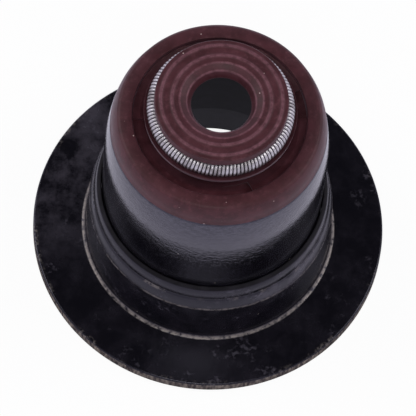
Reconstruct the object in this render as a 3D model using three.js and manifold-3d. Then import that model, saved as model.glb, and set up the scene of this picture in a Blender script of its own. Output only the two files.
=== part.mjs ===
// Valve stem seal with an integral spring seat: a pressed steel seat ring, a drawn steel case, a moulded
// rubber element with its sealing lip, and the garter spring that closes the lip on the valve stem.
// Lengths are in millimetres and +Z is up. The origin is the centre of the seat ring's underside.

import * as THREE from "three";
import { mergeVertices } from "three/addons/utils/BufferGeometryUtils.js";
import Module from "manifold-3d";

const wasm = await Module();
wasm.setup();

// What the seal fits: the valve stem that runs in its lip, and the valve guide that it is pushed over
const STEM_RADIUS = 2.75;
const GUIDE_RADIUS = 6;

// Seat ring: the flange that the valve spring stands on, and the collar drawn up from it
const FLANGE_RADIUS = 15;
const FLANGE_THICKNESS = 1.1;
const FLANGE_EDGE_ROUND = 0.15;
const COLLAR_BORE_RADIUS = 9.4;
const COLLAR_FOOT_WALL = 1.12;
const COLLAR_SHOULDER_WALL = 0.94;
const COLLAR_MOUTH_WALL = 0.35;
const COLLAR_MOUTH_ROUND = 0.28;
const COLLAR_SHOULDER_HEIGHT = 6.25;
const COLLAR_NOSE_LENGTH = 2.75;
const COLLAR_FOOT_FILLET = 0.42;
const COLLAR_LEAD_IN = 0.7;
const SHOULDER_ROUND = 0.25;
const CRIMP_DEPTH = 0.12;
const CRIMP_WIDTH = 0.3;
const CRIMP_RISE = 1.2;

// Case: a drawn sleeve whose lower end is pressed into the collar, with its top turned in to carry the rubber
const CASE_FIT = 0.05;
const CASE_WALL = 0.6;
const CASE_PLUG_LENGTH = 3.3;
const CASE_LENGTH = 11.3;
const CASE_SHOULDER_LENGTH = 4.4;
const CASE_SHOULDER_DRAFT = 0.37;
const CASE_BEND_ROUND = 0.35;

// Rubber element: the outer wall and rim, the recess round the lip's neck, and its four mould pockets
const BOND_GAP = 0.03;
const RIM_RISE = 2;
const RIM_DRAFT = 0.58;
const RIM_EDGE_ROUND = 0.3;
const RIM_WIDTH = 1.2;
const SIDE_BELLY_HEIGHT = 0.63;
const RECESS_STEP = 0.37;
const RECESS_SHELF_WIDTH = 0.6;
const RECESS_DEPTH = 1.15;
const POCKET_COUNT = 4;
const POCKET_AZIMUTH = 17.7;
const POCKET_ANGLE = 21.5;
const POCKET_LENGTH = 1.25;
const POCKET_DEPTH = 0.45;
const POCKET_UNDERCUT = 0.1;

// Rubber element: the grip on the valve guide
const GRIP_CLEARANCE = 0.15;
const GRIP_WALL = 0.75;
const GRIP_LENGTH = 3.7;
const GRIP_LEAD_IN = 0.5;
const GRIP_RIB_COUNT = 3;
const GRIP_RIB_HEIGHT = 0.23;
const GRIP_RIB_WIDTH = 0.6;
const GUIDE_STOP_RISE = 0.3;

// Rubber element: the lip's head, from the throat out to the edge over the spring
const LIP_INTERFERENCE = 0.275;
const THROAT_DROP = 0.57;
const MOUTH_FLARE = 0.345;
const CHAMFER_WIDTH = 0.63;
const CHAMFER_DROP = 0.35;
const CAVITY_SPREAD = 1.75;
const INNER_RIDGE_INSET = 0.63;
const OUTER_RIDGE_INSET = 0.52;
const RIDGE_WIDTH = 0.3;
const RIDGE_HEIGHT = 0.1;
const HEAD_RISE = 0.8;
const HEAD_EDGE_ROUND = 0.1;
const NECK_WASTE = 0.06;
const LEDGE_THICKNESS = 0.42;
const GROOVE_CLEARANCE = 0.1;
const GROOVE_LOW_ANGLE = -32;
const GROOVE_HIGH_ANGLE = 81;

// Garter spring: wire wound into a close coil, whose thin end screws into its other end to make the ring
const SPRING_STANDOFF = 2.65;
const SPRING_RISE = 1.4;
const COIL_RADIUS = 0.7;
const WIRE_RADIUS = 0.125;
const TURN_GAP = 0.0113;
const SPRING_JOINT_AZIMUTH = 305;
const NIB_TURNS = 3.5;
const NIB_CLEARANCE = 0.045;

// Facets
const AROUND = 40;
const ROUND_STEPS = 3;
const COIL_STEPS = 8;
const WIRE_SIDES = 4;
const SAME_POINT = 1e-4;

// Radii that one piece takes from another
const flangeTop = FLANGE_THICKNESS;
const collarTop = COLLAR_SHOULDER_HEIGHT + COLLAR_NOSE_LENGTH;
const caseRadius = COLLAR_BORE_RADIUS - CASE_FIT;
const caseTopRadius = caseRadius - CASE_SHOULDER_DRAFT;
const caseTop = collarTop + CASE_LENGTH;
const caseShoulderFoot = caseTop - CASE_SHOULDER_LENGTH;
const caseTurnedUnder = caseTop - CASE_WALL;
const caseHoleRadius = GUIDE_RADIUS + GRIP_CLEARANCE + GRIP_WALL;
const rimTop = caseTop + RIM_RISE;
const rimOuterRadius = caseTopRadius - RIM_DRAFT;
const recessRadius = rimOuterRadius - RIM_WIDTH;
const springRadius = STEM_RADIUS + SPRING_STANDOFF;
const springHeight = rimTop + SPRING_RISE;
const grooveRadius = COIL_RADIUS + GROOVE_CLEARANCE;
const neckRadius = springRadius - grooveRadius - NECK_WASTE;

const blackSteel = new THREE.MeshStandardMaterial({ color: 0x26252b, roughness: 0.3, metalness: 0.35 });
const blackCase = new THREE.MeshStandardMaterial({ color: 0x2f2d34, roughness: 0.25, metalness: 0.25 });
const brownRubber = new THREE.MeshStandardMaterial({ color: 0x5b3234, roughness: 0.55, metalness: 0 });
const springSteel = new THREE.MeshStandardMaterial({ color: 0xc9c8cc, roughness: 0.25, metalness: 1 });

/** Point on a circle drawn in the profile plane, with the angle in degrees from the outward direction. */
function onCircle(radius, height, reach, degrees) {
  const angle = THREE.MathUtils.degToRad(degrees);
  return [radius + reach * Math.cos(angle), height + reach * Math.sin(angle)];
}

/** Turns a closed outline of radius and height, drawn anticlockwise, about the Z axis. */
function revolve(outline) {
  const points = outline
    .getPoints(ROUND_STEPS)
    .filter((point, index, all) => index === 0 || point.distanceTo(all[index - 1]) > SAME_POINT);
  if (points[0].distanceTo(points.at(-1)) > SAME_POINT) points.push(points[0].clone());
  const geometry = new THREE.LatheGeometry(points, AROUND);
  geometry.rotateX(Math.PI / 2);
  return geometry;
}

/** The solid that a closed geometry bounds. */
function solidOf(geometry) {
  const bare = geometry.index ? geometry.toNonIndexed() : geometry.clone();
  bare.deleteAttribute("normal");
  bare.deleteAttribute("uv");
  const merged = mergeVertices(bare, SAME_POINT);
  return new wasm.Manifold(
    new wasm.Mesh({
      numProp: 3,
      vertProperties: merged.attributes.position.array,
      triVerts: new Uint32Array(merged.index.array),
    }),
  );
}

/** The geometry of a solid's surface. */
function geometryOf(solid) {
  const mesh = solid.getMesh();
  const geometry = new THREE.BufferGeometry();
  geometry.setAttribute("position", new THREE.BufferAttribute(mesh.vertProperties, 3));
  geometry.setIndex(new THREE.BufferAttribute(mesh.triVerts, 1));
  geometry.computeVertexNormals();
  return geometry;
}

/** Pressed ring: a flat flange, a fillet, a straight collar, and a nose crimped in towards the case. */
function seatRing() {
  const footRadius = COLLAR_BORE_RADIUS + COLLAR_FOOT_WALL;
  const shoulderRadius = COLLAR_BORE_RADIUS + COLLAR_SHOULDER_WALL;
  const mouthRadius = COLLAR_BORE_RADIUS + COLLAR_MOUTH_WALL;
  const noseRadiusAt = (rise) => THREE.MathUtils.lerp(shoulderRadius, mouthRadius, rise / COLLAR_NOSE_LENGTH);
  const crimpTop = CRIMP_RISE + CRIMP_WIDTH;
  const crimpMiddle = (CRIMP_RISE + crimpTop) / 2;

  const outline = new THREE.Shape();
  outline.moveTo(COLLAR_BORE_RADIUS + COLLAR_LEAD_IN, 0);
  outline.lineTo(FLANGE_RADIUS, 0);
  outline.lineTo(FLANGE_RADIUS, flangeTop - FLANGE_EDGE_ROUND);
  outline.lineTo(FLANGE_RADIUS - FLANGE_EDGE_ROUND, flangeTop);
  outline.lineTo(footRadius + COLLAR_FOOT_FILLET, flangeTop);
  outline.quadraticCurveTo(footRadius, flangeTop, footRadius, flangeTop + COLLAR_FOOT_FILLET);
  outline.lineTo(shoulderRadius, COLLAR_SHOULDER_HEIGHT - SHOULDER_ROUND);
  outline.lineTo(noseRadiusAt(SHOULDER_ROUND), COLLAR_SHOULDER_HEIGHT + SHOULDER_ROUND);
  outline.lineTo(noseRadiusAt(CRIMP_RISE), COLLAR_SHOULDER_HEIGHT + CRIMP_RISE);
  outline.lineTo(noseRadiusAt(crimpMiddle) - CRIMP_DEPTH, COLLAR_SHOULDER_HEIGHT + crimpMiddle);
  outline.lineTo(noseRadiusAt(crimpTop), COLLAR_SHOULDER_HEIGHT + crimpTop);
  outline.lineTo(mouthRadius, collarTop - COLLAR_MOUTH_ROUND);
  outline.quadraticCurveTo(mouthRadius, collarTop, mouthRadius - COLLAR_MOUTH_ROUND, collarTop);
  outline.lineTo(COLLAR_BORE_RADIUS, collarTop);
  outline.lineTo(COLLAR_BORE_RADIUS, COLLAR_LEAD_IN);
  outline.quadraticCurveTo(COLLAR_BORE_RADIUS, 0, COLLAR_BORE_RADIUS + COLLAR_LEAD_IN, 0);
  return revolve(outline);
}

/** Inner radius of the case, straight up to its shoulder and then narrowing evenly to the top's bend. */
function caseBoreRadius(height) {
  const shoulder = caseTurnedUnder - CASE_BEND_ROUND - caseShoulderFoot;
  const draft = CASE_SHOULDER_DRAFT * ((caseTurnedUnder - caseShoulderFoot) / CASE_SHOULDER_LENGTH) ** 2;
  return caseRadius - CASE_WALL - draft * THREE.MathUtils.clamp((height - caseShoulderFoot) / shoulder, 0, 1);
}

/** Drawn sleeve: a straight wall, a long rounded shoulder, and a top turned in flat. */
function sealCase() {
  const foot = collarTop - CASE_PLUG_LENGTH;
  const boreAtBend = caseBoreRadius(caseTurnedUnder);

  const outline = new THREE.Shape();
  outline.moveTo(caseRadius, foot);
  outline.lineTo(caseRadius, caseShoulderFoot);
  outline.quadraticCurveTo(caseRadius, (caseShoulderFoot + caseTop) / 2, caseTopRadius, caseTop);
  outline.lineTo(caseHoleRadius, caseTop);
  outline.lineTo(caseHoleRadius, caseTurnedUnder);
  outline.lineTo(boreAtBend - CASE_BEND_ROUND, caseTurnedUnder);
  outline.lineTo(boreAtBend, caseTurnedUnder - CASE_BEND_ROUND);
  outline.lineTo(caseBoreRadius(caseShoulderFoot), caseShoulderFoot);
  outline.lineTo(caseBoreRadius(foot), foot);
  return revolve(outline);
}

/** Outer wall, rounded rim edge, flat rim, and the recess down to the root of the lip's neck. */
function drawRimAndRecess(outline) {
  const slope = (2 * CASE_SHOULDER_DRAFT) / CASE_SHOULDER_LENGTH;
  const shelf = rimTop - RECESS_STEP;
  const root = rimTop - RECESS_DEPTH;
  const rootRadius = neckRadius + (recessRadius - neckRadius) / 3;

  outline.moveTo(caseTopRadius, caseTop);
  outline.quadraticCurveTo(
    caseTopRadius - slope * SIDE_BELLY_HEIGHT,
    caseTop + SIDE_BELLY_HEIGHT,
    rimOuterRadius,
    rimTop - RIM_EDGE_ROUND,
  );
  outline.quadraticCurveTo(
    rimOuterRadius - RIM_EDGE_ROUND / 2,
    rimTop,
    rimOuterRadius - RIM_EDGE_ROUND,
    rimTop,
  );
  outline.lineTo(recessRadius, rimTop);
  outline.lineTo(recessRadius, shelf);
  outline.lineTo(recessRadius - RECESS_SHELF_WIDTH, shelf - RECESS_STEP / 4);
  outline.lineTo(rootRadius, root);
  outline.quadraticCurveTo(neckRadius, root, neckRadius, root + (rootRadius - neckRadius) / 2);
}

/** Neck, the ledge under the spring, the spring's groove, the head's side and its ridged top face. */
function drawHead(outline) {
  const [ledgeRadius, ledgeHeight] = onCircle(springRadius, springHeight, grooveRadius, GROOVE_LOW_ANGLE);
  const [edgeRadius, edgeHeight] = onCircle(springRadius, springHeight, grooveRadius, GROOVE_HIGH_ANGLE);
  const ledgeOuterRadius = ledgeRadius + LEDGE_THICKNESS / 2;
  const land = edgeHeight + HEAD_RISE;
  const throatRadius = STEM_RADIUS - LIP_INTERFERENCE;
  const mouthRadius = throatRadius + MOUTH_FLARE;
  const chamferRadius = mouthRadius + CHAMFER_WIDTH;
  const ridgeRadii = [edgeRadius - OUTER_RIDGE_INSET, chamferRadius + INNER_RIDGE_INSET];

  outline.lineTo(neckRadius, springHeight - grooveRadius - 2 * LEDGE_THICKNESS);
  outline.lineTo(ledgeOuterRadius, ledgeHeight - LEDGE_THICKNESS);
  outline.lineTo(ledgeOuterRadius, ledgeHeight);
  outline.absarc(
    springRadius,
    springHeight,
    grooveRadius,
    THREE.MathUtils.degToRad(GROOVE_LOW_ANGLE),
    THREE.MathUtils.degToRad(GROOVE_HIGH_ANGLE),
    true,
  );
  outline.lineTo(edgeRadius, land - HEAD_EDGE_ROUND);
  outline.lineTo(edgeRadius - HEAD_EDGE_ROUND, land);
  for (const radius of ridgeRadii) {
    outline.lineTo(radius + RIDGE_WIDTH / 2, land);
    outline.lineTo(radius, land + RIDGE_HEIGHT);
    outline.lineTo(radius - RIDGE_WIDTH / 2, land);
  }
  outline.lineTo(chamferRadius, land);
  outline.lineTo(mouthRadius, land - CHAMFER_DROP);
  outline.lineTo(throatRadius, land - CHAMFER_DROP - THROAT_DROP);
}

/** Oil cavity under the lip, the stop for the guide's end, the ribbed grip, and the bond to the case. */
function drawGrip(outline) {
  const gripRadius = GUIDE_RADIUS + GRIP_CLEARANCE;
  const gripFoot = caseTop - GRIP_LENGTH;
  const guideStop = caseTop + GUIDE_STOP_RISE;
  const ribPitch = (guideStop - gripFoot - GRIP_LEAD_IN) / GRIP_RIB_COUNT;
  const holeRadius = caseHoleRadius - BOND_GAP;
  const bondRadius = (height) => caseBoreRadius(height) - BOND_GAP;

  outline.lineTo(STEM_RADIUS + CAVITY_SPREAD, guideStop);
  outline.lineTo(gripRadius, guideStop);
  for (let rib = 0; rib < GRIP_RIB_COUNT; rib += 1) {
    const middle = guideStop - (rib + 0.5) * ribPitch;
    outline.lineTo(gripRadius, middle + GRIP_RIB_WIDTH / 2);
    outline.lineTo(gripRadius - GRIP_RIB_HEIGHT, middle);
    outline.lineTo(gripRadius, middle - GRIP_RIB_WIDTH / 2);
  }
  outline.lineTo(gripRadius, gripFoot + GRIP_LEAD_IN);
  outline.lineTo(gripRadius + GRIP_LEAD_IN, gripFoot);
  outline.lineTo(bondRadius(gripFoot), gripFoot);
  outline.lineTo(bondRadius(caseTurnedUnder), caseTurnedUnder - CASE_BEND_ROUND);
  outline.lineTo(bondRadius(caseTurnedUnder) - CASE_BEND_ROUND, caseTurnedUnder);
  outline.lineTo(holeRadius, caseTurnedUnder);
  outline.lineTo(holeRadius, caseTop);
}

/** One mould pocket: a sector sunk into the recess's shelf, whose outer wall runs under the rim's edge. */
function pocketCutter(azimuth) {
  const half = THREE.MathUtils.degToRad(POCKET_ANGLE / 2);
  const outer = recessRadius + POCKET_UNDERCUT;
  const sector = new THREE.Shape();
  sector.absarc(0, 0, outer, -half, half, false);
  sector.absarc(0, 0, recessRadius - POCKET_LENGTH, half, -half, true);
  const cutter = new THREE.ExtrudeGeometry(sector, {
    depth: POCKET_DEPTH,
    bevelEnabled: false,
    curveSegments: ROUND_STEPS,
  });
  cutter.translate(0, 0, rimTop - RECESS_STEP - POCKET_DEPTH);
  cutter.rotateZ(THREE.MathUtils.degToRad(azimuth));
  return solidOf(cutter);
}

/** Moulded element: one revolved section, less the mould pockets spaced round its recess. */
function rubberElement() {
  const outline = new THREE.Shape();
  drawRimAndRecess(outline);
  drawHead(outline);
  drawGrip(outline);
  let element = solidOf(revolve(outline));
  for (let pocket = 0; pocket < POCKET_COUNT; pocket += 1) {
    const azimuth = POCKET_AZIMUTH + (360 * pocket) / POCKET_COUNT;
    element = element.subtract(pocketCutter(azimuth));
  }
  return geometryOf(element);
}

/** The wire's centre line: a coil bent round into a ring, whose last turns narrow to go inside the first. */
class GarterCoil extends THREE.Curve {
  constructor() {
    super();
    const innerRing = springRadius - COIL_RADIUS + WIRE_RADIUS;
    this.turnsRound = Math.round((2 * Math.PI * innerRing) / (2 * WIRE_RADIUS + TURN_GAP));
    this.turns = this.turnsRound + NIB_TURNS;
    this.outerReach = COIL_RADIUS - WIRE_RADIUS;
    this.nibReach = this.outerReach - 2 * WIRE_RADIUS - NIB_CLEARANCE;
  }

  /** The turns are even, so equal steps of the parameter are equal steps along the wire. */
  getUtoTmapping(share) {
    return share;
  }

  getPoint(share, target = new THREE.Vector3()) {
    const turn = share * this.turns;
    const azimuth = THREE.MathUtils.degToRad(SPRING_JOINT_AZIMUTH) + (2 * Math.PI * turn) / this.turnsRound;
    const narrowing = THREE.MathUtils.smoothstep(turn, this.turnsRound - 1, this.turnsRound);
    const reach = THREE.MathUtils.lerp(this.outerReach, this.nibReach, narrowing);
    const radius = springRadius + reach * Math.cos(2 * Math.PI * turn);
    const height = springHeight + reach * Math.sin(2 * Math.PI * turn);
    return target.set(radius * Math.cos(azimuth), radius * Math.sin(azimuth), height);
  }
}

/** Round wire swept along the coil, closed at both ends. */
function garterSpring() {
  const coil = new GarterCoil();
  const wire = new THREE.Shape();
  for (let side = 0; side < WIRE_SIDES; side += 1) {
    const [x, y] = onCircle(0, 0, WIRE_RADIUS, (360 * side) / WIRE_SIDES);
    if (side === 0) wire.moveTo(x, y);
    else wire.lineTo(x, y);
  }
  return new THREE.ExtrudeGeometry(wire, { steps: Math.round(coil.turns * COIL_STEPS), extrudePath: coil });
}

/** A named sub-part. */
function subPart(name, geometry, material) {
  const mesh = new THREE.Mesh(geometry, material);
  mesh.name = name;
  return mesh;
}

const valveStemSeal = new THREE.Group();
valveStemSeal.name = "valve_stem_seal";
valveStemSeal.add(subPart("spring_seat", seatRing(), blackSteel));
valveStemSeal.add(subPart("seal_case", sealCase(), blackCase));
valveStemSeal.add(subPart("rubber_seal", rubberElement(), brownRubber));
valveStemSeal.add(subPart("garter_spring", garterSpring(), springSteel));

export default valveStemSeal;
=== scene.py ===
"""Looks of a valve stem seal with a built-in spring seat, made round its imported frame.

The seal has four pieces: a pressed seat ring, a drawn case, a moulded rubber element with the
sealing lip, and the garter spring that closes the lip. Sizes are in millimetres, and turn into
metres where a mesh is made. Heights are over the seat ring's underside.
"""

import logging
import math
from collections.abc import Callable, Sequence
from dataclasses import dataclass, field
from enum import Enum
from itertools import pairwise

import bmesh
import bpy
from mathutils import Matrix, Vector


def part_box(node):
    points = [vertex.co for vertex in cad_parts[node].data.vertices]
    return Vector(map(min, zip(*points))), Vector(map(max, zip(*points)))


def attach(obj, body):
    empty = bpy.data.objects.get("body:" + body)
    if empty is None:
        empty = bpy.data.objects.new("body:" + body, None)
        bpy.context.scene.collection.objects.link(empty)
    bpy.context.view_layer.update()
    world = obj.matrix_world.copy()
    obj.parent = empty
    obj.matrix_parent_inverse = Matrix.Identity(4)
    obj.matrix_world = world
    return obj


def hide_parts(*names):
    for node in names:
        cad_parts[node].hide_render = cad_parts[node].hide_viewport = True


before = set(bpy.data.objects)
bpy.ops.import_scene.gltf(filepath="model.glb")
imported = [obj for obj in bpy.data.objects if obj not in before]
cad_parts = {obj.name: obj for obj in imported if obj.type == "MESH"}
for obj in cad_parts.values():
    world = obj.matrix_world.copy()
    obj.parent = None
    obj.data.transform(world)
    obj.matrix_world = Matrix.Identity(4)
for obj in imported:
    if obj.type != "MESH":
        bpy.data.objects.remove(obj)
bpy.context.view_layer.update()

LOG = logging.getLogger("valve_stem_seal")
MM = 0.001
TURN_STEPS = 256
ARC_STEP = math.radians(9)
SMOOTH_ANGLE = math.radians(32)
WIRE_SMOOTH_ANGLE = math.radians(60)
# The most of its shorter edge that a corner's arc may take.
LONGEST_BLEND = 0.85
# The distance in metres under which two vertices are one.
SAME_POINT = 2e-7
SMOOTH = {"interpolation_type": "SMOOTHSTEP"}

# Values of a pattern at which a share starts and is full.
Limits = tuple[float, float]
# What a node's input can be linked to.
Source = bpy.types.Node | bpy.types.NodeSocket


class Slot(Enum):
    """Names of the four finishes, one for each; the materials here are not named by them."""

    SEAT = "coated_seat_steel"
    CASE = "coated_case_steel"
    RUBBER = "seal_rubber"
    WIRE = "spring_wire"


@dataclass(frozen=True)
class Corner:
    """A corner of a turned section.

    Attributes:
        radius: distance from the seal's axis.
        height: height over the seat ring's underside.
        blend: radius of the arc that rounds the corner, or 0 for a sharp one.
    """

    radius: float
    height: float
    blend: float = 0.0

    def point(self) -> Vector:
        """The corner as a point of the section's plane."""
        return Vector((self.radius, self.height))


def top_of(node: str) -> float:
    """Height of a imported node's highest point."""
    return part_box(node)[1].z / MM


def foot_of(node: str) -> float:
    """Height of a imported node's lowest point."""
    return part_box(node)[0].z / MM


def rounded(corners: Sequence[Corner]) -> list[Vector]:
    """Rounds the corners of a closed section.

    Args:
        corners: the corners in order, the last joined to the first.

    Returns:
        The section's points, with each arc in even steps.
    """
    points = []
    for before, corner, after in zip((corners[-1], *corners), corners, (*corners[1:], corners[0])):
        here = corner.point()
        back = before.point() - here
        ahead = after.point() - here
        turn = math.pi - back.angle(ahead)
        if corner.blend == 0 or turn < ARC_STEP / 4:
            points.append(here)
            continue
        shorter = min(back.length, ahead.length)
        reach = min(corner.blend * math.tan(turn / 2), LONGEST_BLEND * shorter)
        start = back.normalized() * reach
        end = ahead.normalized() * reach
        centre = (start + end) / (2 * math.cos(turn / 2) ** 2)
        steps = max(2, math.ceil(turn / ARC_STEP))
        for step in range(steps + 1):
            share = step / steps
            start_weight = math.sin((1 - share) * turn) / math.sin(turn)
            end_weight = math.sin(share * turn) / math.sin(turn)
            points.append(here + centre + (start - centre) * start_weight + (end - centre) * end_weight)
    return points


def arc(centre: Corner, reach: float, first: float, last: float) -> list[Corner]:
    """Points on a circle of the section, without its two ends.

    Args:
        centre: the circle's centre.
        reach: the circle's radius.
        first: angle of the arc's start in degrees, from the outward direction.
        last: angle of its end.

    Returns:
        Sharp corners in even steps.
    """
    steps = math.ceil(abs(math.radians(last - first)) / ARC_STEP)
    angles = [math.radians(first + (last - first) * step / steps) for step in range(1, steps)]
    return [
        Corner(centre.radius + reach * math.cos(angle), centre.height + reach * math.sin(angle))
        for angle in angles
    ]


def turned(name: str, corners: Sequence[Corner]) -> bpy.types.Object:
    """Draws a closed section by extruding one vertex, and spins it round the seal's axis.

    Args:
        name: the piece's name.
        corners: the section's corners.

    Returns:
        The closed piece, smooth over its rounded corners.
    """
    points = [Vector((point.x, 0, point.y)) * MM for point in rounded(corners)]
    bpy.ops.object.select_all(action="DESELECT")
    bpy.ops.mesh.primitive_plane_add(size=MM, enter_editmode=True)
    bpy.ops.mesh.select_mode(type="VERT")
    bpy.ops.mesh.merge(type="CENTER")
    bpy.ops.transform.translate(value=points[0])
    for here, there in pairwise([*points, points[0]]):
        bpy.ops.mesh.extrude_region_move(TRANSFORM_OT_translate={"value": there - here})
    bpy.ops.mesh.select_all(action="SELECT")
    bpy.ops.mesh.remove_doubles(threshold=SAME_POINT)
    bpy.ops.mesh.spin(steps=TURN_STEPS, angle=math.tau, center=(0, 0, 0), axis=(0, 0, 1))
    bpy.ops.mesh.select_all(action="SELECT")
    bpy.ops.mesh.remove_doubles(threshold=SAME_POINT)
    bpy.ops.mesh.normals_make_consistent(inside=False)
    bpy.ops.object.mode_set(mode="OBJECT")
    bpy.ops.object.shade_smooth_by_angle(angle=SMOOTH_ANGLE)
    piece = bpy.context.active_object
    piece.name = name
    return piece


def select_faces(piece: bpy.types.Object, wanted: Callable[[float, float, float], bool]) -> None:
    """Selects faces by their place, in edit mode.

    Args:
        piece: the piece that is being edited.
        wanted: says of a face whether to take it, from its middle's radius and height in
            millimetres and its azimuth in degrees from 0 to 360.
    """
    bpy.ops.mesh.select_mode(type="FACE")
    bpy.ops.mesh.select_all(action="DESELECT")
    mesh = bmesh.from_edit_mesh(piece.data)
    for face in mesh.faces:
        x, y, z = face.calc_center_median() / MM
        face.select_set(wanted(math.hypot(x, y), z, math.degrees(math.atan2(y, x)) % 360))
    bmesh.update_edit_mesh(piece.data)


def linear(hex_colour: str) -> tuple[float, float, float, float]:
    """Turns an sRGB colour to the linear one that a shader takes.

    Args:
        hex_colour: the colour, such as "#48292c".

    Returns:
        Its linear red, green and blue, and a full alpha.
    """
    shares = [int(hex_colour[start : start + 2], 16) / 255 for start in (1, 3, 5)]
    red, green, blue = (
        share / 12.92 if share <= 0.04045 else ((share + 0.055) / 1.055) ** 2.4 for share in shares
    )
    return red, green, blue, 1.0


def add_node(
    tree: bpy.types.NodeTree, kind: str, inputs: dict | None = None, **settings: object
) -> bpy.types.Node:
    """Adds one node with its settings, and sets or links its inputs.

    Args:
        tree: the node tree.
        kind: the node's type without "ShaderNode".
        inputs: for each input's name or number, a value, an output, or a node whose first output
            in use is taken.
        **settings: the node's own properties.

    Returns:
        The node.
    """
    node = tree.nodes.new("ShaderNode" + kind)
    for name, value in settings.items():
        setattr(node, name, value)
    for name, value in (inputs or {}).items():
        if isinstance(value, bpy.types.Node):
            value = next(output for output in value.outputs if output.enabled)
        if isinstance(value, bpy.types.NodeSocket):
            tree.links.new(value, node.inputs[name])
        else:
            node.inputs[name].default_value = value
    return node


@dataclass(frozen=True)
class Dust:
    """Dust that lies in small round specks.

    Attributes:
        colour: its colour.
        spacing: distance between the places where a speck may lie, in millimetres.
        reach: radius of a speck, as a share of the spacing.
        rarity: share of the places that stay clean.
    """

    colour: str
    spacing: float
    reach: float
    rarity: float


@dataclass
class Surface:
    """A material in the making, with the places on it that its patterns read.

    Attributes:
        name: the material's name.
        material: the material.
        tree: its node tree.
        place: gives the place on the piece, in millimetres.
        radius: gives the distance from the seal's axis, in millimetres.
        height: gives the height, in millimetres.
    """

    name: str
    material: bpy.types.Material = field(init=False)
    tree: bpy.types.NodeTree = field(init=False)
    place: bpy.types.Node = field(init=False)
    radius: bpy.types.Node = field(init=False)
    height: bpy.types.NodeSocket = field(init=False)

    def __post_init__(self) -> None:
        """Makes the material and its coordinates."""
        self.material = bpy.data.materials.new(self.name)
        self.material.use_nodes = True
        self.tree = self.material.node_tree
        self.tree.nodes.clear()
        metres = add_node(self.tree, "TexCoord").outputs["Object"]
        self.place = add_node(self.tree, "VectorMath", {0: metres, "Scale": 1 / MM}, operation="SCALE")
        level = add_node(self.tree, "VectorMath", {0: self.place, 1: (1, 1, 0)}, operation="MULTIPLY")
        self.radius = add_node(self.tree, "VectorMath", {0: level}, operation="LENGTH")
        self.height = add_node(self.tree, "SeparateXYZ", {0: self.place}).outputs["Z"]

    def line_share(self, distance: Source, at: float, width: float) -> bpy.types.Node:
        """Share of a soft line round the piece.

        Args:
            distance: the radius or the height.
            at: where the line is.
            width: how far from its middle it ends.

        Returns:
            The share, full in the line's middle third.
        """
        off = add_node(self.tree, "Math", {0: distance, 1: at}, operation="SUBTRACT")
        off = add_node(self.tree, "Math", {0: off}, operation="ABSOLUTE")
        return add_node(
            self.tree, "MapRange", {"Value": off, "From Min": width, "From Max": width / 3}, **SMOOTH
        )

    def clouds_share(
        self, size_mm: float, detail: float, limits: Limits, roughness: float = 0.5
    ) -> bpy.types.Node:
        """Share of a cloudy pattern.

        Args:
            size_mm: size of the clouds.
            detail: levels of finer clouds in them.
            limits: the pattern's values at which the share starts and is full.
            roughness: strength of the finer levels.

        Returns:
            The share.
        """
        clouds = {"Vector": self.place, "Scale": 1 / size_mm, "Detail": detail, "Roughness": roughness}
        clouds = add_node(self.tree, "TexNoise", clouds)
        none, full = limits
        share = {"Value": clouds, "From Min": none, "From Max": full}
        return add_node(self.tree, "MapRange", share, **SMOOTH)

    def dust_share(self, dust: Dust) -> bpy.types.Node:
        """Share of dust.

        Args:
            dust: the dust.

        Returns:
            The share, full on a speck.
        """
        cell = add_node(self.tree, "TexVoronoi", {"Vector": self.place, "Scale": 1 / dust.spacing})
        speck = {"Value": cell, "From Min": dust.reach, "From Max": 0.6 * dust.reach}
        speck = add_node(self.tree, "MapRange", speck, **SMOOTH)
        taken = {"Value": cell.outputs["Color"], "From Min": dust.rarity, "From Max": dust.rarity + 0.02}
        taken = add_node(self.tree, "MapRange", taken, **SMOOTH)
        return add_node(self.tree, "Math", {0: speck, 1: taken}, operation="MULTIPLY")

    def layered(self, base: str, *layers: tuple[Source, str | bpy.types.Node]) -> bpy.types.Node:
        """Lays colours over a base colour, one after the other.

        Args:
            base: the lowest colour.
            *layers: the share and the colour of each layer.

        Returns:
            The colour.
        """
        colour = linear(base)
        for share, over in layers:
            over = linear(over) if isinstance(over, str) else over
            colour = add_node(self.tree, "Mix", {0: share, 6: colour, 7: over}, data_type="RGBA")
        return colour

    def finished(self, inputs: dict) -> bpy.types.Material:
        """Adds the shader and the output.

        Args:
            inputs: the shader's inputs, as for add_node.

        Returns:
            The material.
        """
        shader = add_node(self.tree, "BsdfPrincipled", inputs)
        add_node(self.tree, "OutputMaterial", {"Surface": shader})
        return self.material


@dataclass(frozen=True)
class WornLine:
    """A line round the seat ring along which its coat is rubbed through.

    Attributes:
        at: its radius or its height.
        width: how far it reaches to either side.
        crumbs: limits of the fine pattern.
        patches: limits of the coarse pattern.
    """

    at: float
    width: float
    crumbs: Limits
    patches: Limits


@dataclass(frozen=True)
class LighterSide:
    """A side of the seat ring on which a lighter grey is laid.

    Attributes:
        direction: points level from the axis to that side.
        start: how far that way the grey starts.
        full: how far that way it is full.
        foot: the height from which it shows.
        fade: the height over which it comes in.
    """

    direction: tuple[float, float, float]
    start: float
    full: float
    foot: float
    fade: float = 0.6


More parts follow.
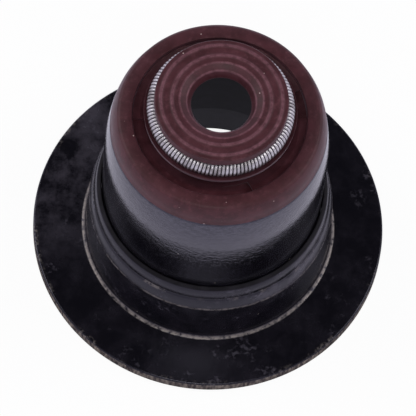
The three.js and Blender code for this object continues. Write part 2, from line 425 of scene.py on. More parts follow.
@dataclass(frozen=True)
class SeatCoating:
    """Pressed steel strip with a thin black electrocoat, satin over a faint mottle.

    The flange's rim was sheared after the strip was rolled, so it shows dull metal with upright
    streaks. The coat is rubbed through to dull steel in the collar's foot, on its shoulder, along
    its crimped nose and in patches at the flange's edge. A lighter grey is laid by direction on
    two of its sides.
    """

    coat: str = "#0d0c11"
    coat_light: str = "#18161c"
    gloss_tint: str = "#eeebff"
    scuffed: str = "#45424a"
    # Lighter grey, laid by direction on two sides.
    side_grey: str = "#3a373e"
    rubbed: str = "#7d7672"
    shear_dark: str = "#3b3436"
    shear_light: str = "#857b72"
    dust: Dust = Dust("#8f8880", 1.7, 0.035, 0.55)
    mottle_mm: float = 2.6
    mottle_limits: Limits = (0.38, 0.66)
    mottle_height: float = 0.05
    grain_mm: float = 0.3
    grain_height: float = 0.012
    scuff_mm: float = 2.1
    scuff_limits: Limits = (0.56, 0.7)
    scuff_strength: float = 0.75
    rub_mm: float = 0.35
    rub_limits: Limits = (0.46, 0.66)
    patch_mm: float = 3.4
    streak_mm: float = 0.22
    streak_shape: tuple[float, float, float] = (1, 1, 0.18)
    flange_radius: float = 15.0
    flange_top: float = 1.1
    foot_line: WornLine = WornLine(10.72, 0.17, (0.28, 0.6), (0.2, 0.3))
    rim_line: WornLine = WornLine(14.95, 0.4, (0.46, 0.7), (0.48, 0.66))
    shoulder_line: WornLine = WornLine(6.25, 0.18, (0.3, 0.65), (0.3, 0.6))
    shoulder_wear: float = 0.8
    crimp_line: WornLine = WornLine(7.6, 0.3, (0.46, 0.62), (0.46, 0.6))
    crimp_wear: float = 0.6
    # Sides with the lighter grey: the back left, and the collar's upper front right.
    lighter_sides: tuple[LighterSide, ...] = (
        LighterSide((-0.75, 0.66, 0.0), 4.0, 13.0, 0.0),
        LighterSide((0.8, -0.6, 0.0), 8.2, 9.7, 5.8),
    )

    def rubbed_share(self, made: Surface) -> bpy.types.Node:
        """Where the coat is rubbed through to the steel.

        Args:
            made: the material in the making.

        Returns:
            The share of bare steel.
        """
        tree = made.tree
        low = {"Value": made.height, "From Min": self.flange_top + 0.5, "From Max": self.flange_top + 0.3}
        low = add_node(tree, "MapRange", low, **SMOOTH)
        total = 0.0
        for distance, line, reached in (
            (made.radius, self.foot_line, low),
            (made.radius, self.rim_line, low),
            (made.height, self.shoulder_line, self.shoulder_wear),
            (made.height, self.crimp_line, self.crimp_wear),
        ):
            share = made.line_share(distance, line.at, line.width)
            crumbly = made.clouds_share(self.rub_mm, 3, line.crumbs)
            patchy = made.clouds_share(self.patch_mm, 3, line.patches)
            for factor in (crumbly, patchy, reached):
                share = add_node(tree, "Math", {0: share, 1: factor}, operation="MULTIPLY")
            total = add_node(tree, "Math", {0: total, 1: share}, operation="MAXIMUM")
        return total

    def sheared_share(self, made: Surface) -> bpy.types.Node:
        """The flange's rim under its rounded edge, where the coat is thin over sheared steel.

        Args:
            made: the material in the making.

        Returns:
            The share of sheared steel.
        """
        rim, top = self.flange_radius, self.flange_top
        outmost = {"Value": made.radius, "From Min": rim - 0.07, "From Max": rim - 0.02}
        outmost = add_node(made.tree, "MapRange", outmost, **SMOOTH)
        under_edge = {"Value": made.height, "From Min": top - 0.1, "From Max": top - 0.2}
        under_edge = add_node(made.tree, "MapRange", under_edge, **SMOOTH)
        return add_node(made.tree, "Math", {0: outmost, 1: under_edge}, operation="MULTIPLY")

    def sheared_colour(self, made: Surface) -> bpy.types.Node:
        """The sheared steel with its upright streaks.

        Args:
            made: the material in the making.

        Returns:
            The colour.
        """
        tree = made.tree
        upright = add_node(tree, "VectorMath", {0: made.place, 1: self.streak_shape}, operation="MULTIPLY")
        streaks = add_node(tree, "TexNoise", {"Vector": upright, "Scale": 1 / self.streak_mm, "Detail": 4})
        streaky = add_node(tree, "MapRange", {"Value": streaks, "From Min": 0.35, "From Max": 0.7}, **SMOOTH)
        return made.layered(self.shear_dark, (streaky, self.shear_light))

    def scuffed_share(self, made: Surface) -> bpy.types.Node:
        """Small scuffs that lie together in patches.

        Args:
            made: the material in the making.

        Returns:
            The share of scuffed coat.
        """
        patches = made.clouds_share(self.scuff_mm, 4, self.scuff_limits)
        marks = made.clouds_share(self.rub_mm, 4, self.rub_limits)
        both = add_node(made.tree, "Math", {0: patches, 1: marks}, operation="MULTIPLY")
        return add_node(made.tree, "Math", {0: both, 1: self.scuff_strength}, operation="MULTIPLY")

    def lighter_side_share(self, made: Surface, cloudy: bpy.types.Node) -> bpy.types.Node:
        """The two sides that are laid with a lighter grey, in clouds.

        Args:
            made: the material in the making.
            cloudy: the share of the mottle's light clouds.

        Returns:
            The share of the lighter grey.
        """
        tree = made.tree
        total = 0.0
        for side in self.lighter_sides:
            towards = {0: made.place, 1: side.direction}
            towards = add_node(tree, "VectorMath", towards, operation="DOT_PRODUCT")
            near = {"Value": towards, "From Min": side.start, "From Max": side.full}
            near = add_node(tree, "MapRange", near, **SMOOTH)
            above = {"Value": made.height, "From Min": side.foot, "From Max": side.foot + side.fade}
            above = add_node(tree, "MapRange", above, **SMOOTH)
            near = add_node(tree, "Math", {0: near, 1: above}, operation="MULTIPLY")
            total = add_node(tree, "Math", {0: total, 1: near}, operation="MAXIMUM")
        return add_node(tree, "Math", {0: total, 1: cloudy}, operation="MULTIPLY")

    def colour(
        self, made: Surface, mottle: bpy.types.Node, rubbed: bpy.types.Node, sheared: bpy.types.Node
    ) -> bpy.types.Node:
        """The coat's black with its mottle, scuffs and dust, and the bare steel.

        Args:
            made: the material in the making.
            mottle: the coat's mottle.
            rubbed: the share of rubbed steel.
            sheared: the share of sheared steel.

        Returns:
            The colour.
        """
        none, full = self.mottle_limits
        cloudy = {"Value": mottle, "From Min": none, "From Max": full}
        cloudy = add_node(made.tree, "MapRange", cloudy, **SMOOTH)
        return made.layered(
            self.coat,
            (cloudy, self.coat_light),
            # Lighter grey on two sides, laid by direction.
            (self.lighter_side_share(made, cloudy), self.side_grey),
            (self.scuffed_share(made), self.scuffed),
            (rubbed, self.rubbed),
            (sheared, self.sheared_colour(made)),
            (made.dust_share(self.dust), self.dust.colour),
        )

    def material(self) -> bpy.types.Material:
        """Builds the coating.

        Returns:
            The material.
        """
        made = Surface("electrocoated_seat_steel")
        tree = made.tree
        clouds = {"Vector": made.place, "Scale": 1 / self.mottle_mm, "Detail": 6, "Roughness": 0.68}
        mottle = add_node(tree, "TexNoise", clouds)
        rubbed = self.rubbed_share(made)
        sheared = self.sheared_share(made)
        satin = {"Value": mottle, "From Min": 0.3, "From Max": 0.7, "To Min": 0.16, "To Max": 0.3}
        roughness = add_node(tree, "MapRange", satin)
        bare = add_node(tree, "Math", {0: sheared, 1: rubbed}, operation="MAXIMUM")
        roughness = add_node(tree, "Math", {0: bare, 1: 0.25, 2: roughness}, operation="MULTIPLY_ADD")
        metal = add_node(tree, "Math", {0: rubbed, 1: 0.8}, operation="MULTIPLY")
        grain = add_node(tree, "TexNoise", {"Vector": made.place, "Scale": 1 / self.grain_mm, "Detail": 3})
        dents = {"Height": grain, "Strength": 0.35, "Distance": self.grain_height * MM}
        dents = add_node(tree, "Bump", dents)
        waves = {"Height": mottle, "Strength": 0.5, "Distance": self.mottle_height * MM, "Normal": dents}
        return made.finished(
            {
                "Base Color": self.colour(made, mottle, rubbed, sheared),
                "Metallic": metal,
                "Roughness": roughness,
                "Specular IOR Level": 0.33,
                "Specular Tint": linear(self.gloss_tint),
                "Normal": add_node(tree, "Bump", waves),
            }
        )


@dataclass(frozen=True)
class InnerCoating:
    """The same black coat inside the bore, where it is thin, dry and matt."""

    name: str
    gloss: float
    roughness: float = 0.6
    coat: str = "#121014"
    coat_light: str = "#1c1a1f"
    mottle_mm: float = 1.2
    mottle_limits: Limits = (0.38, 0.66)

    def material(self) -> bpy.types.Material:
        """Builds the matt coating.

        Returns:
            The material.
        """
        made = Surface(self.name)
        cloudy = made.clouds_share(self.mottle_mm, 5, self.mottle_limits)
        return made.finished(
            {
                "Base Color": made.layered(self.coat, (cloudy, self.coat_light)),
                "Roughness": self.roughness,
                "Specular IOR Level": self.gloss,
            }
        )


@dataclass(frozen=True)
class CaseCoating:
    """Drawn steel sleeve with a thick gloss black coat that has flowed into a fine orange peel.

    A thin grey layer of old oil and dust dulls it under the rubber. This lighter grey, thickening
    towards the rubber, is also a painted sheen that stands in for a brighter reflection there.
    """

    coat: str = "#0b0a0e"
    coat_light: str = "#131217"
    # Grey of old oil and dust, and a painted sheen towards the rubber.
    film_and_sheen: str = "#34323a"
    gloss_tint: str = "#e4e0ff"
    dust: Dust = Dust("#a39c96", 1.5, 0.04, 0.55)
    mottle_mm: float = 3.0
    mottle_limits: Limits = (0.4, 0.65)
    peel_mm: float = 0.9
    peel_height: float = 0.014
    ripple_mm: float = 0.42
    ripple_height: float = 0.016
    ripple_shape: tuple[float, float, float] = (1, 1, 1.8)
    film_and_sheen_foot: float = 14.6
    film_and_sheen_top: float = 20.3

    def film_and_sheen_share(self, made: Surface, ripple: bpy.types.Node) -> bpy.types.Node:
        """The grey of old oil and dust, which thickens towards the rubber and is partly a painted sheen.

        Args:
            made: the material in the making.
            ripple: the coat's ripple, which gives the grey its grain.

        Returns:
            The share of the grey and its painted sheen.
        """
        high = {"Value": made.height, "From Min": self.film_and_sheen_foot, "From Max": self.film_and_sheen_top}
        high = add_node(made.tree, "MapRange", high, **SMOOTH)
        grainy = {"Value": ripple, "From Min": 0.34, "From Max": 0.64, "To Min": 0.25, "To Max": 1.0}
        grainy = add_node(made.tree, "MapRange", grainy, **SMOOTH)
        return add_node(made.tree, "Math", {0: high, 1: grainy}, operation="MULTIPLY")

    def material(self) -> bpy.types.Material:
        """Builds the coating.

        Returns:
            The material.
        """
        made = Surface("gloss_coated_case_steel")
        tree = made.tree
        flat = add_node(tree, "VectorMath", {0: made.place, 1: self.ripple_shape}, operation="MULTIPLY")
        ripple = add_node(tree, "TexNoise", {"Vector": flat, "Scale": 1 / self.ripple_mm, "Detail": 2.5})
        waves = {"Vector": made.place, "Scale": 1 / self.peel_mm, "Detail": 1.5, "Roughness": 0.4}
        peel = add_node(tree, "TexNoise", waves)
        large = add_node(tree, "Bump", {"Height": peel, "Strength": 0.4, "Distance": self.peel_height * MM})
        small = {"Height": ripple, "Strength": 1.0, "Distance": self.ripple_height * MM, "Normal": large}
        colour = made.layered(
            self.coat,
            (made.clouds_share(self.mottle_mm, 4, self.mottle_limits), self.coat_light),
            # Lighter grey towards the rubber: dust, and also painted sheen.
            (self.film_and_sheen_share(made, ripple), self.film_and_sheen),
            (made.dust_share(self.dust), self.dust.colour),
        )
        return made.finished(
            {
                "Base Color": colour,
                "Roughness": 0.08,
                "Specular IOR Level": 0.5,
                "Specular Tint": linear(self.gloss_tint),
                "Normal": add_node(tree, "Bump", small),
            }
        )


@dataclass(frozen=True)
class SealRubber:
    """Moulded fluorocarbon rubber, red brown and satin, with the fine grain of its mould.

    A slight bloom lightens it in patches, and pale dust and flash crumbs stick to it. On the
    ridges and edges of the lip's head a lighter line is partly bloom and partly a painted
    highlight. The real grain is too fine to show, so it is drawn coarser.
    """

    brown: str = "#462127"
    brown_dark: str = "#39171c"
    brown_light: str = "#5a3239"
    # Colour of the crest lines: thick bloom with a painted highlight.
    bloom: str = "#744b54"
    sheen: str = "#d6ccdc"
    crumbs: Dust = Dust("#b7a29d", 1.1, 0.06, 0.53)
    mottle_mm: float = 1.6
    mottle_limits: Limits = (0.38, 0.62)
    mottle_roughness: float = 0.62
    bloom_mm: float = 0.5
    bloom_height: float = 0.03
    grain_mm: float = 0.09
    grain_height: float = 0.012
    head_foot: float = 24.85
    # Radii and widths of the lighter crest lines, partly bloom and partly painted highlight.
    bloom_and_highlight_crests: tuple[tuple[float, float], ...] = ((5.0, 0.2), (4.08, 0.2), (3.45, 0.13), (2.84, 0.12))

    def crest_bloom_and_highlight_share(self, made: Surface, bloom: bpy.types.Node) -> bpy.types.Node:
        """The head's ridges and edges, where the bloom is thickest and a highlight is painted.

        Args:
            made: the material in the making.
            bloom: the bloom's pattern.

        Returns:
            The share of thick bloom and painted highlight.
        """
        tree = made.tree
        raised = {"Value": made.height, "From Min": self.head_foot, "From Max": self.head_foot + 0.05}
        raised = add_node(tree, "MapRange", raised, **SMOOTH)
        thick = {"Value": bloom, "From Min": 0.35, "From Max": 0.6, "To Min": 0.15, "To Max": 0.75}
        thick = add_node(tree, "MapRange", thick)
        thick = add_node(tree, "Math", {0: raised, 1: thick}, operation="MULTIPLY")
        lines = 0.0
        for radius, width in self.bloom_and_highlight_crests:
            line = made.line_share(made.radius, radius, width)
            lines = add_node(tree, "Math", {0: lines, 1: line}, operation="MAXIMUM")
        return add_node(tree, "Math", {0: thick, 1: lines}, operation="MULTIPLY")

    def material(self) -> bpy.types.Material:
        """Builds the rubber.

        Returns:
            The material.
        """
        made = Surface("fluorocarbon_rubber")
        tree = made.tree
        cloudy = made.clouds_share(self.mottle_mm, 6, self.mottle_limits, self.mottle_roughness)
        specks = {"Vector": made.place, "Scale": 1 / self.bloom_mm, "Detail": 5, "Roughness": 0.7}
        bloom = add_node(tree, "TexNoise", specks)
        pale = {"Value": bloom, "From Min": 0.5, "From Max": 0.72, "To Max": 0.6}
        pale = add_node(tree, "MapRange", pale, **SMOOTH)
        colour = made.layered(
            self.brown_dark,
            (cloudy, self.brown),
            (pale, self.brown_light),
            # Crest lines on the head: partly bloom, partly painted highlight.
            (self.crest_bloom_and_highlight_share(made, bloom), self.bloom),
            (made.dust_share(self.crumbs), self.crumbs.colour),
        )
        satin = {"Value": bloom, "From Min": 0.3, "From Max": 0.7, "To Min": 0.4, "To Max": 0.58}
        grain = add_node(tree, "TexNoise", {"Vector": made.place, "Scale": 1 / self.grain_mm, "Detail": 2})
        fine = add_node(tree, "Bump", {"Height": grain, "Strength": 0.5, "Distance": self.grain_height * MM})
        lumps = {"Height": bloom, "Strength": 0.35, "Distance": self.bloom_height * MM, "Normal": fine}
        return made.finished(
            {
                "Base Color": colour,
                "Roughness": add_node(tree, "MapRange", satin),
                "Specular IOR Level": 0.27,
                "Sheen Weight": 0.2,
                "Sheen Roughness": 0.4,
                "Sheen Tint": linear(self.sheen),
                "Normal": add_node(tree, "Bump", lumps),
            }
        )


@dataclass(frozen=True)
class DrawnWire:
    """Hard drawn stainless spring wire, bright with a slight tarnish."""

    bright: str = "#bfbbbe"
    tarnish: str = "#8d8787"
    tarnish_mm: float = 1.4

    def material(self) -> bpy.types.Material:
        """Builds the wire's metal.

        Returns:
            The material.
        """
        made = Surface("drawn_spring_wire")
        tree = made.tree
        stains = {"Vector": made.place, "Scale": 1 / self.tarnish_mm, "Detail": 4}
        patches = add_node(tree, "TexNoise", stains)
        dull = add_node(tree, "MapRange", {"Value": patches, "From Min": 0.45, "From Max": 0.7}, **SMOOTH)
        sheen = {"Value": patches, "From Min": 0.35, "From Max": 0.7, "To Min": 0.36, "To Max": 0.5}
        return made.finished(
            {
                "Base Color": made.layered(self.bright, (dull, self.tarnish)),
                "Metallic": 1.0,
                "Roughness": add_node(tree, "MapRange", sheen),
            }
        )


def line_bore(
    piece: bpy.types.Object, coating: InnerCoating, inside: Callable[[float, float, float], bool]
) -> None:
    """Gives the faces of a coated piece's bore the matt inner coat.

    Args:
        piece: the piece, already dressed outside.
        coating: the coat of its bore.
        inside: says of a face whether it belongs to the bore, as for select_faces.
    """
    piece.data.materials.append(coating.material())
    bpy.ops.object.mode_set(mode="EDIT")
    select_faces(piece, inside)
    piece.active_material_index = 1
    bpy.ops.object.material_slot_assign()
    bpy.ops.object.mode_set(mode="OBJECT")


def hand_over(piece: bpy.types.Object, node: str, material: bpy.types.Material) -> None:
    """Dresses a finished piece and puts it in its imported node's place.

    Args:
        piece: the piece.
        node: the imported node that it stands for.
        material: its material.
    """
    piece.data.materials.clear()
    piece.data.materials.append(material)
    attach(piece, "root")
    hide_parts(node)
    LOG.info("%s: %d faces", piece.name, len(piece.data.polygons))


@dataclass
class SeatRing:
    """Pressed ring: a flat flange, a collar drawn up from it, and a nose crimped in to the case."""

    flange_radius: float = field(default_factory=lambda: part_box("spring_seat")[1].x / MM)
    collar_top: float = field(default_factory=lambda: top_of("spring_seat"))
    flange_thickness: float = 1.1
    edge_round: float = 0.17
    foot_radius: float = 10.52
    foot_fillet: float = 0.42
    shoulder_radius: float = 10.34
    shoulder_height: float = 6.25
    shoulder_round: float = 0.45
    mouth_radius: float = 9.75
    mouth_round: float = 0.31
    bore_radius: float = 9.4
    lead_in: float = 0.7
    crimp_rise: float = 1.2
    crimp_width: float = 0.3
    crimp_depth: float = 0.12
    crimp_round: float = 0.08
    finish: SeatCoating = SeatCoating()
    bore_finish: InnerCoating = InnerCoating("matt_coated_collar_bore", 0.11)

    def nose_radius(self, rise: float) -> float:
        """Radius of the nose's cone at a height over the shoulder."""
        share = rise / (self.collar_top - self.shoulder_height)
        return self.shoulder_radius + (self.mouth_radius - self.shoulder_radius) * share

    def corners(self) -> list[Corner]:
        """The section, from the bore's lead-in round the flange to the mouth.

        Returns:
            The corners in order.
        """
        crimp_top = self.crimp_rise + self.crimp_width
        crimp_middle = self.crimp_rise + self.crimp_width / 2
        return [
            Corner(self.bore_radius, 0, self.lead_in),
            Corner(self.flange_radius, 0, self.edge_round / 2),
            Corner(self.flange_radius, self.flange_thickness, self.edge_round),
            Corner(self.foot_radius, self.flange_thickness, self.foot_fillet),
            Corner(self.shoulder_radius, self.shoulder_height, self.shoulder_round),
            *(
                Corner(self.nose_radius(rise) - depth, self.shoulder_height + rise, self.crimp_round)
                for rise, depth in ((self.crimp_rise, 0), (crimp_middle, self.crimp_depth), (crimp_top, 0))
            ),
            Corner(self.mouth_radius, self.collar_top, self.mouth_round),
            Corner(self.bore_radius, self.collar_top, 0.05),
        ]

    def build(self) -> None:
        """Turns the ring and dresses it."""
        piece = turned("seat_ring", self.corners())
        hand_over(piece, "spring_seat", self.finish.material())
        lead_in_middle = self.bore_radius + self.lead_in / 2
        line_bore(piece, self.bore_finish, lambda radius, height, azimuth: radius < lead_in_middle)


@dataclass
class Case:
    """Drawn sleeve: straight from the collar's bore to a long rounded shoulder, and turned in on top."""

    foot: float = field(default_factory=lambda: foot_of("seal_case"))
    top: float = field(default_factory=lambda: top_of("seal_case"))
    wall: float = 0.6
    radius: float = 9.35
    shoulder_length: float = 4.4
    shoulder_draft: float = 0.37
    shoulder_steps: int = 14
    hole_radius: float = 6.9
    finish: CaseCoating = CaseCoating()
    bore_finish: InnerCoating = InnerCoating("matt_coated_case_bore", 0.05)

    def wall_radius(self, height: float) -> float:
        """Outer radius at a height: straight, and then a parabola from the shoulder's foot."""
        share = max(0.0, (height - self.top) / self.shoulder_length + 1)
        return self.radius - self.shoulder_draft * share**2

    def corners(self) -> list[Corner]:
        """The section, from the foot up the outside and back down the bore.

        Returns:
            The corners in order.
        """
        shoulder_foot = self.top - self.shoulder_length
        turned_under = self.top - self.wall
        heights = [
            shoulder_foot + self.shoulder_length * step / self.shoulder_steps
            for step in range(self.shoulder_steps)
        ]
        return [
            Corner(self.radius, self.foot, 0.15),
            *(Corner(self.wall_radius(height), height) for height in heights),
            Corner(self.wall_radius(self.top), self.top, 0.08),
            Corner(self.hole_radius, self.top, 0.1),
            Corner(self.hole_radius, turned_under, 0.1),
            Corner(self.wall_radius(turned_under) - self.wall, turned_under, 0.5),
            Corner(self.radius - self.wall, shoulder_foot),
            Corner(self.radius - self.wall, self.foot, 0.1),
        ]

    def build(self) -> None:
        """Turns the case and dresses it."""
        piece = turned("case_sleeve", self.corners())
        hand_over(piece, "seal_case", self.finish.material())
        turned_under = self.top - self.wall / 2
        line_bore(
            piece,
            self.bore_finish,
            lambda radius, height, azimuth: (
                height < turned_under and radius < self.wall_radius(height) - self.wall / 2
            ),
        )


@dataclass
class RubberElement:
    """Moulded element: rim, recess with four mould pockets, neck, lip head, and the guide's grip."""

    foot: float = field(default_factory=lambda: foot_of("rubber_seal"))
    case_top: float = field(default_factory=lambda: top_of("seal_case"))
    spring_height: float = field(
        default_factory=lambda: (foot_of("garter_spring") + top_of("garter_spring")) / 2
    )
    base_radius: float = 8.98
    rim_rise: float = 2.0
    rim_radius: float = 8.42
    rim_round: float = 0.26
    recess_radius: float = 7.2
    shelf_drop: float = 0.37
    floor_drops: tuple[float, float] = (0.2, 0.9)
    pocket_count: int = 4
    pocket_inner_radius: float = 5.95
    pocket_wall_gap: float = 0.02
    pocket_depth: float = 0.2
    pocket_first_step: int = 5
    pocket_steps: int = 15
    root_drop: float = 1.15
    neck_radius: float = 4.54
    spring_radius: float = 5.4
    groove_radius: float = 0.8
    groove_angles: tuple[float, float] = (-32.0, -279.0)
    ledge_radius: float = 6.29
    ledge_thickness: float = 0.42
    land_height: float = 25.297
    head_round: float = 0.12
    ridge_radii: tuple[float, float] = (5.0, 4.08)
    ridge_height: float = 0.1
    ridge_width: float = 0.42
    chamfer_radius: float = 3.45
    chamfer_drop: float = 0.35
    mouth_radius: float = 2.82
    throat_radius: float = 2.475
    throat_drop: float = 0.57
    cavity_radius: float = 4.5
    grip_radius: float = 6.15
    stop_rise: float = 0.3
    grip_lead_in: float = 0.5
    rib_count: int = 3
    rib_height: float = 0.23
    rib_width: float = 0.6
    bond_radius: float = 8.42
    bond_foot_radius: float = 8.66
    bond_hole_radius: float = 6.87
    case_wall: float = 0.6
    finish: SealRubber = SealRubber()

    def rim_and_recess(self) -> list[Corner]:
        """Outer wall, rim, and the recess down to the neck's root.

        Returns:
            The corners in order.
        """
        rim_top = self.case_top + self.rim_rise
        shelf = rim_top - self.shelf_drop
        return [
            Corner(self.base_radius, self.case_top, 0.04),
            Corner(self.base_radius - 0.13, self.case_top + 0.75, 1.8),
            Corner(self.rim_radius, rim_top, self.rim_round),
            Corner(self.recess_radius, rim_top, 0.1),
            Corner(self.recess_radius, shelf, 0.06),
            Corner(self.recess_radius - 0.6, shelf - 0.09, 0.12),
            Corner(self.pocket_inner_radius, rim_top - 0.86),
            Corner(self.neck_radius + 0.86, rim_top - self.root_drop, 0.2),
            Corner(self.neck_radius, rim_top - self.root_drop, 0.4),
        ]

    def neck_and_groove(self) -> list[Corner]:
        """Neck, the ledge under the spring, the groove that holds the spring, and the head's side.

        Returns:
            The corners in order.
        """
        groove = Corner(self.spring_radius, self.spring_height)
        low, high = self.groove_angles
        ledge_top = self.spring_height + self.groove_radius * math.sin(math.radians(low))
        head_radius = self.spring_radius + self.groove_radius * math.cos(math.radians(high))
        groove_top = self.spring_height + self.groove_radius * math.sin(math.radians(high))
        return [
            Corner(self.neck_radius, self.spring_height - self.groove_radius - 2 * self.ledge_thickness, 0.2),
            Corner(self.ledge_radius, ledge_top - self.ledge_thickness, 0.08),
            Corner(self.ledge_radius, ledge_top, 0.06),
            *arc(groove, self.groove_radius, low, high),
            Corner(head_radius, groove_top, 0.02),
            Corner(head_radius, self.land_height, self.head_round),
        ]

    def head_and_lip(self) -> list[Corner]:
        """The head's face with its two ridges, and the chamfered mouth down to the throat.

        Returns:
            The corners in order.
        """
        corners = []
        for radius in self.ridge_radii:
            corners += [
                Corner(radius + self.ridge_width / 2, self.land_height, 0.05),
                Corner(radius, self.land_height + self.ridge_height, 0.1),
                Corner(radius - self.ridge_width / 2, self.land_height, 0.05),
            ]
        mouth_height = self.land_height - self.chamfer_drop
        return [
            *corners,
            Corner(self.chamfer_radius, self.land_height, 0.05),
            Corner(self.mouth_radius, mouth_height, 0.05),
            Corner(self.throat_radius, mouth_height - self.throat_drop, 0.04),
        ]

    def grip(self) -> list[Corner]:
        """The cavity under the lip, the ribbed grip, and the face that is bonded to the case.

        Returns:
            The corners in order.
        """
        stop = self.case_top + self.stop_rise
        pitch = (stop - self.foot - self.grip_lead_in) / self.rib_count
        corners = [Corner(self.cavity_radius, stop, 0.3), Corner(self.grip_radius, stop, 0.1)]
        for rib in range(self.rib_count):
            middle = stop - (rib + 0.5) * pitch
            corners += [
                Corner(self.grip_radius, middle + self.rib_width / 2, 0.1),
                Corner(self.grip_radius - self.rib_height, middle, 0.15),
                Corner(self.grip_radius, middle - self.rib_width / 2, 0.1),
            ]
        return [
            *corners,
            Corner(self.grip_radius, self.foot + self.grip_lead_in, 0.1),
            Corner(self.grip_radius + self.grip_lead_in, self.foot, 0.1),
            Corner(self.bond_foot_radius, self.foot),
            Corner(self.bond_radius, self.case_top - self.case_wall, 0.5),
            Corner(self.bond_hole_radius, self.case_top - self.case_wall),
            Corner(self.bond_hole_radius, self.case_top),
        ]

    def sink_pockets(self, piece: bpy.types.Object) -> None:
        """Extrudes four sectors of the recess down to shallow pockets.

        Args:
            piece: the turned element.
        """
        step = 360 / TURN_STEPS
        first = self.pocket_first_step * step
        last = first + self.pocket_steps * step
        spacing = 360 / self.pocket_count
        wall = self.recess_radius - self.pocket_wall_gap
        highest, lowest = (self.case_top + self.rim_rise - drop for drop in self.floor_drops)

        def in_pocket(radius: float, height: float, azimuth: float) -> bool:
            """Says whether a face of the recess's floor lies in one of the sectors."""
            in_floor = self.pocket_inner_radius < radius < wall and lowest < height < highest
            return in_floor and first < azimuth % spacing < last

        bpy.ops.object.mode_set(mode="EDIT")
        select_faces(piece, in_pocket)
        sink = (0, 0, -self.pocket_depth * MM)
        bpy.ops.mesh.extrude_region_move(TRANSFORM_OT_translate={"value": sink})
        bpy.ops.object.mode_set(mode="OBJECT")
        bpy.ops.object.shade_smooth_by_angle(angle=SMOOTH_ANGLE)

    def build(self) -> None:
        """Turns the element, sinks its pockets and dresses it."""
        corners = [*self.rim_and_recess(), *self.neck_and_groove(), *self.head_and_lip(), *self.grip()]
        piece = turned("rubber_element", corners)
        self.sink_pockets(piece)
        hand_over(piece, "rubber_seal", self.finish.material())


@dataclass
class GarterSpring:
    """Close coil bent round into a ring, whose last turns narrow to go inside its first ones."""

    ring_radius: float = 5.4
    height: float = field(default_factory=lambda: (foot_of("garter_spring") + top_of("garter_spring")) / 2)
    coil_reach: float = 0.575
    nib_reach: float = 0.28
    wire_radius: float = 0.125
    turns_round: int = 116
    nib_turns: float = 3.5
    joint_azimuth: float = 305.0
    wire_sides: int = 12
    steps_a_turn: int = 24
    finish: DrawnWire = DrawnWire()

    def wind(self) -> bpy.types.Object:
        """Winds the straight coil along X, starting at its outer side.

        Returns:
            The coil, closed at its two ends.
        """
        turns = self.turns_round + self.nib_turns
        pitch = math.tau * self.ring_radius / self.turns_round
        bpy.ops.object.select_all(action="DESELECT")
        bpy.ops.mesh.primitive_circle_add(
            vertices=self.wire_sides, radius=self.wire_radius * MM, location=(0, -self.coil_reach * MM, 0)
        )
        coil = bpy.context.active_object
        bpy.ops.object.transform_apply(location=True)
        screw = coil.modifiers.new("winding", "SCREW")
        screw.axis = "X"
        screw.angle = -math.tau * turns
        screw.screw_offset = pitch * turns * MM
        screw.steps = screw.render_steps = round(turns * self.steps_a_turn)
        screw.use_normal_calculate = True
        bpy.ops.object.modifier_apply(modifier=screw.name)
        return coil

    def narrow_nib(self, coil: bpy.types.Object) -> None:
        """Moves the last turns' wire towards the coil's axis, section by section.

        Args:
            coil: the straight coil, whose vertices lie section after section.
        """
        bpy.ops.object.mode_set(mode="EDIT")
        bpy.ops.mesh.select_mode(type="VERT")
        bpy.ops.mesh.select_all(action="DESELECT")
        mesh = bmesh.from_edit_mesh(coil.data)
        mesh.verts.ensure_lookup_table()
        first = (self.turns_round - 1) * self.steps_a_turn
        for section in range(first, len(mesh.verts) // self.wire_sides):
            turn = section / self.steps_a_turn
            share = min(turn - (self.turns_round - 1), 1)
            inward = (self.coil_reach - self.nib_reach) * share * share * (3 - 2 * share) * MM
            phase = math.tau * turn
            start = section * self.wire_sides
            ring = [mesh.verts[index] for index in range(start, start + self.wire_sides)]
            for vertex in ring:
                vertex.select_set(True)
            bpy.ops.transform.translate(value=(0, inward * math.cos(phase), -inward * math.sin(phase)))
            for vertex in ring:
                vertex.select_set(False)
        bpy.ops.mesh.select_all(action="SELECT")
        bpy.ops.mesh.fill_holes(sides=self.wire_sides)
        bpy.ops.mesh.select_all(action="SELECT")
        bpy.ops.mesh.normals_make_consistent(inside=False)
        bpy.ops.object.mode_set(mode="OBJECT")

    def close_ring(self, coil: bpy.types.Object) -> None:
        """Bends the coil round the lip and lifts it into the groove.

        Args:
            coil: the straight coil with its nib.
        """
        along = [vertex.co.x for vertex in coil.data.vertices]
        bend = coil.modifiers.new("ring", "SIMPLE_DEFORM")
        bend.deform_method = "BEND"
        bend.deform_axis = "Z"
        bend.angle = (max(along) - min(along)) / (self.ring_radius * MM)
        bpy.ops.object.modifier_apply(modifier=bend.name)
        coil.location.y = -self.ring_radius * MM
        bpy.ops.object.transform_apply(location=True)
        coil.rotation_euler.z = math.radians(self.joint_azimuth + 90)
        coil.location.z = self.height * MM
        bpy.ops.object.transform_apply(location=True, rotation=True)
        bpy.ops.object.shade_smooth_by_angle(angle=WIRE_SMOOTH_ANGLE)

    def build(self) -> None:
        """Winds, narrows and bends the spring, and dresses it."""
        coil = self.wind()
        self.narrow_nib(coil)
        self.close_ring(coil)
        coil.name = "garter_coil"
        hand_over(coil, "garter_spring", self.finish.material())


@dataclass(frozen=True)
class Lamp:
    """A soft area lamp that points at the seal.

    Attributes:
        name: the lamp's name.
        place: where it is, in millimetres.
        size: the side of its square.
        power: its power in watts.
    """

    name: str
    place: tuple[float, float, float]
    size: float
    power: float


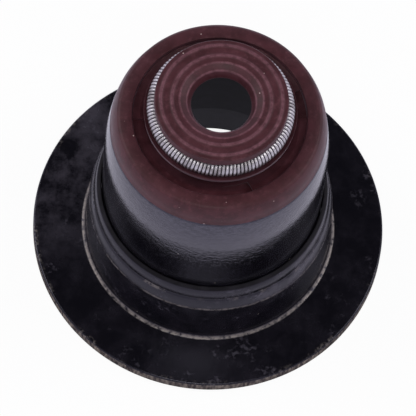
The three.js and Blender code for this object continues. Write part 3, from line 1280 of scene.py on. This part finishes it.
@dataclass
class Studio:
    """White floor, soft white surroundings and lamps, and the camera at the photograph's angle."""

    frame_radius: float = field(default_factory=lambda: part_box("spring_seat")[1].x / MM)
    frame_height: float = 1.1
    elevation: float = 64.95
    roll: float = 6.24
    distance: float = 30.0
    shift_right: float = 0.001
    shift_up: float = -0.091
    lens: float = 453.8
    sensor: float = 36.0
    floor_size: float = 6000.0
    floor_drop: float = 0.02
    floor_white: str = "#f6f6f7"
    floor_glow: float = 0.94
    studio_tint: str = "#f1eeff"
    bore_radius: float = 9.4
    shade_radii: tuple[float, float] = (15.8, 16.7)
    darkening: tuple[float, float] = (0.2, 0.9)
    horizon: float = 1.0
    zenith: float = 0.05
    lamps: tuple[Lamp, ...] = (
        Lamp("softbox_left", (-235, 60, 240), 170, 0.34),
        Lamp("softbox_right", (235, 50, 245), 150, 0.3),
        Lamp("sheet_front", (0, -150, 320), 130, 0.32),
    )

    def add_floor(self) -> None:
        """Adds a white floor that takes a soft shadow and shows white to the eye and in gloss.

        In gloss it is dark under the flange and close round it, where no light reaches the paper.
        """
        bpy.ops.object.select_all(action="DESELECT")
        bpy.ops.mesh.primitive_plane_add(size=self.floor_size * MM, location=(0, 0, -self.floor_drop * MM))
        floor = bpy.context.active_object
        floor.name = "studio_floor"
        made = Surface("white_paper_floor")
        tree = made.tree
        lit = 0.0
        for none, full in ((self.bore_radius, self.bore_radius - 0.3), self.shade_radii):
            part = {"Value": made.radius, "From Min": none, "From Max": full}
            part = add_node(tree, "MapRange", part, **SMOOTH)
            lit = add_node(tree, "Math", {0: lit, 1: part}, operation="MAXIMUM")
        rays = add_node(tree, "LightPath").outputs
        gloss = {0: rays["Is Glossy Ray"], 1: rays["Is Transmission Ray"]}
        gloss = add_node(tree, "Math", gloss, operation="MAXIMUM")
        seen = {0: rays["Is Camera Ray"], 1: self.floor_glow}
        seen = add_node(tree, "Math", seen, operation="MULTIPLY")
        share = add_node(tree, "Math", {0: seen, 1: gloss}, operation="MAXIMUM")
        colour = made.layered("#000000", (lit, self.studio_tint), (rays["Is Camera Ray"], "#ffffff"))
        glow = add_node(tree, "Emission", {"Color": colour, "Strength": 1.0})
        paper = add_node(tree, "BsdfDiffuse", {"Color": linear(self.floor_white)})
        mixed = add_node(tree, "MixShader", {0: share, 1: paper, 2: glow})
        add_node(tree, "OutputMaterial", {"Surface": mixed})
        floor.data.materials.append(made.material)

    def light_world(self) -> None:
        """Surrounds the seal with a cool white that darkens towards the zenith."""
        world = bpy.data.worlds.new("white_surroundings")
        world.use_nodes = True
        tree = world.node_tree
        tree.nodes.clear()
        up = add_node(tree, "SeparateXYZ", {0: add_node(tree, "TexCoord").outputs["Generated"]})
        low, high = self.darkening
        level = {"Value": up.outputs["Z"], "From Min": low, "From Max": high}
        level |= {"To Min": self.horizon, "To Max": self.zenith}
        level = add_node(tree, "MapRange", level, **SMOOTH)
        tint = {0: add_node(tree, "LightPath").outputs["Is Camera Ray"]}
        tint |= {6: linear(self.studio_tint), 7: (1, 1, 1, 1)}
        tint = add_node(tree, "Mix", tint, data_type="RGBA")
        glow = add_node(tree, "Background", {"Color": tint, "Strength": level})
        add_node(tree, "OutputWorld", {"Surface": glow})
        bpy.context.scene.world = world

    def hang_lamps(self) -> None:
        """Hangs the soft lamps, each turned to the seal."""
        for lamp in self.lamps:
            light = bpy.data.lights.new(lamp.name, "AREA")
            light.size = lamp.size * MM
            light.energy = lamp.power
            holder = bpy.data.objects.new(lamp.name, light)
            holder.location = Vector(lamp.place) * MM
            holder.rotation_euler = Vector(lamp.place).to_track_quat("Z", "Y").to_euler()
            bpy.context.scene.collection.objects.link(holder)

    def set_camera(self) -> None:
        """Sets the camera by the pose measured from the photograph's circles."""
        tilt = math.radians(self.elevation)
        roll = math.radians(self.roll)
        back = Vector((0, -math.cos(tilt), math.sin(tilt)))
        level_right = Vector((1, 0, 0))
        level_up = Vector((0, math.sin(tilt), math.cos(tilt)))
        right = math.cos(roll) * level_right + math.sin(roll) * level_up
        up = -math.sin(roll) * level_right + math.cos(roll) * level_up
        offset = self.distance * back - self.shift_right * right - self.shift_up * up
        eye = (Vector((0, 0, self.frame_height)) + self.frame_radius * offset) * MM
        lens = bpy.data.cameras.new("camera")
        lens.lens = self.lens
        lens.sensor_width = self.sensor
        lens.clip_start = 0.01
        camera = bpy.data.objects.new("camera", lens)
        turn = Matrix((right, up, back)).transposed().to_4x4()
        camera.matrix_world = Matrix.Translation(eye) @ turn
        bpy.context.scene.collection.objects.link(camera)
        bpy.context.scene.camera = camera

    def build(self) -> None:
        """Sets up the whole studio."""
        bpy.context.scene.view_settings.view_transform = "Standard"
        self.set_camera()
        self.add_floor()
        self.light_world()
        self.hang_lamps()
        LOG.info("studio: floor, surroundings, %d lamps and camera", len(self.lamps))


def main() -> None:
    logging.basicConfig(level=logging.INFO, format="%(message)s")
    Studio().build()
    for part in (SeatRing(), Case(), RubberElement(), GarterSpring()):
        part.build()


if __name__ == "__main__":
    main()
